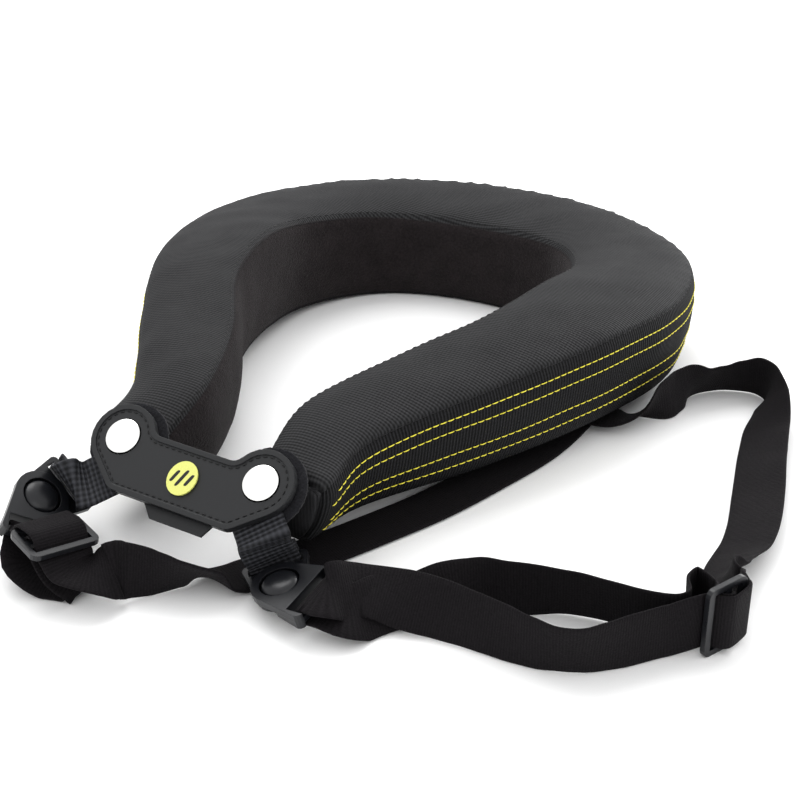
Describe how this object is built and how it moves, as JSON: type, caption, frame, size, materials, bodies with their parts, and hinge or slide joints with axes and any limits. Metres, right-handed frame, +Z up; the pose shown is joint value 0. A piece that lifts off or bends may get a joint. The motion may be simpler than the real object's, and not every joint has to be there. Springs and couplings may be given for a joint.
{
  "type": "motocross neck brace",
  "caption": "Padded horseshoe neck brace closed at the front by a snapped rubber bridge, with elastic straps on swivel buckles.",
  "frame": {"origin": "bottom centre of the whole part's box, on the surface that it lies on", "axes": "+Z up; +Y from the bridge towards the back of the collar; +X towards the side with the long strap"},
  "size_m": [0.3524, 0.4036, 0.0624],
  "materials": {
    "ribbed_cloth": "matt charcoal cloth with a fine rib grid",
    "fleece": "matt dark brushed fleece",
    "side_cloth": "matt black ribbed cloth with pale stitching",
    "foam": "dense padding under the cover",
    "rubber": "satin moulded rubber",
    "nickel": "bright nickel-plated snap caps",
    "pale_yellow": "satin pale yellow moulding",
    "hook_loop": "matt hook-and-loop pile",
    "webbing": "coarse ribbed webbing",
    "elastic": "fine woven elastic",
    "acetal": "satin dark grey plastic"
  },
  "bodies": {
    "root": {"foam_pad": "foam", "neck_panel": "fleece", "top_panel": "ribbed_cloth", "side_panel_left": "side_cloth", "side_panel_right": "side_cloth", "back_panel": "side_cloth", "base_panel": "side_cloth", "tip_panel_left": "ribbed_cloth", "tip_panel_right": "ribbed_cloth", "bridge": "rubber", "snap_cap_left": "nickel", "snap_cap_right": "nickel", "hook_pad_left": "hook_loop", "hook_pad_right": "hook_loop", "emblem": "pale_yellow", "label_tab": "rubber", "buckle_head_left": "acetal", "buckle_plate_left": "acetal", "buckle_rivet_left": "acetal", "triglide_left": "acetal", "left_strap": "elastic", "webbing_tab_left": "webbing", "buckle_head_right": "acetal", "buckle_plate_right": "acetal", "buckle_rivet_right": "acetal", "triglide_right": "acetal", "right_strap": "elastic", "webbing_tab_right": "webbing"}
  },
  "joints": []
}
